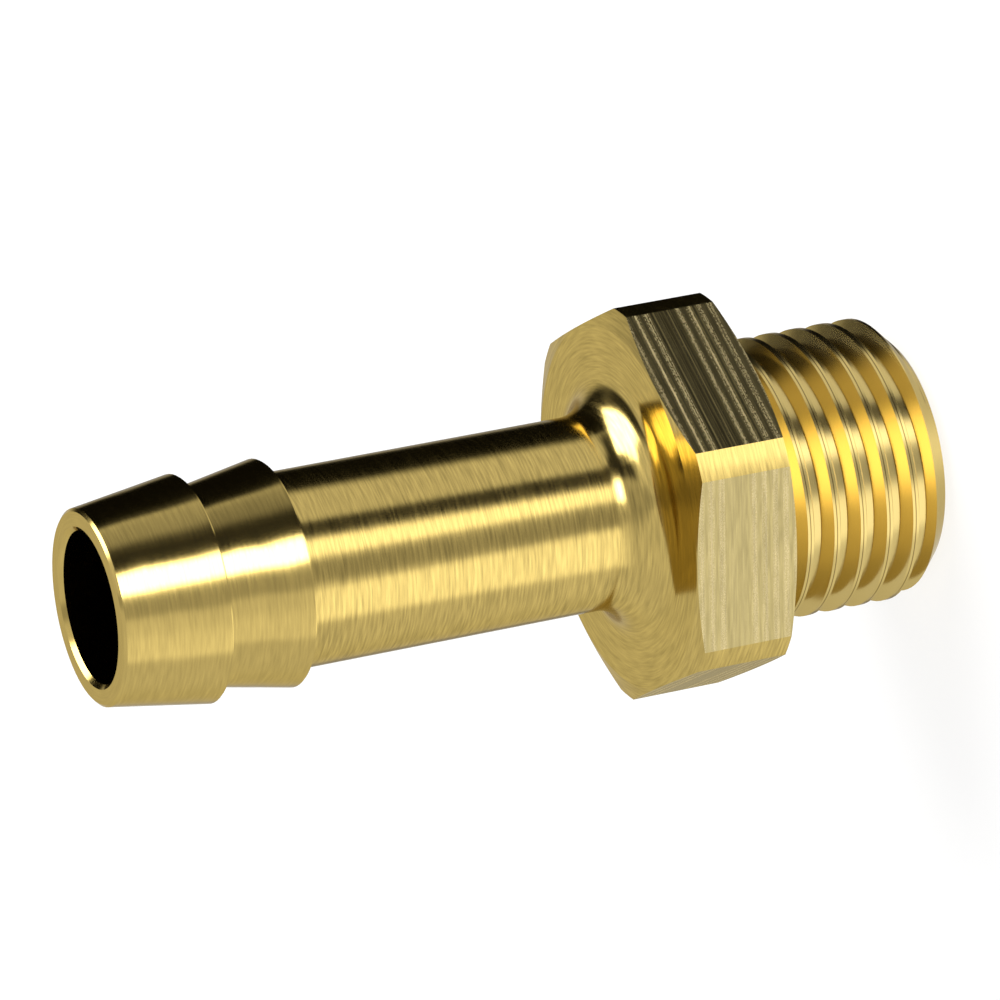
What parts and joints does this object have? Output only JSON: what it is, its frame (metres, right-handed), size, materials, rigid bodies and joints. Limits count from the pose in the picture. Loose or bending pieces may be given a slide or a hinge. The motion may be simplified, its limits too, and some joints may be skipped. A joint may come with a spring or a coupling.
{
  "type": "hose barb tail",
  "caption": "Straight brass hose tail: a barbed tube for a hose, a hexagon for a spanner and a right-hand parallel pipe thread, with a bore right through.",
  "frame": {"origin": "on the axis, at the hexagon's face on the thread's side, which is the face that seats on a port", "axes": "+Z along the axis towards the barbed mouth, +X through one corner of the hexagon, and +Y square to one of its flats"},
  "size_m": [0.0188, 0.017, 0.04],
  "materials": {
    "brass": "turned, with fine lines round the axis"
  },
  "bodies": {
    "root": {"hose_tail": "brass"}
  },
  "joints": []
}
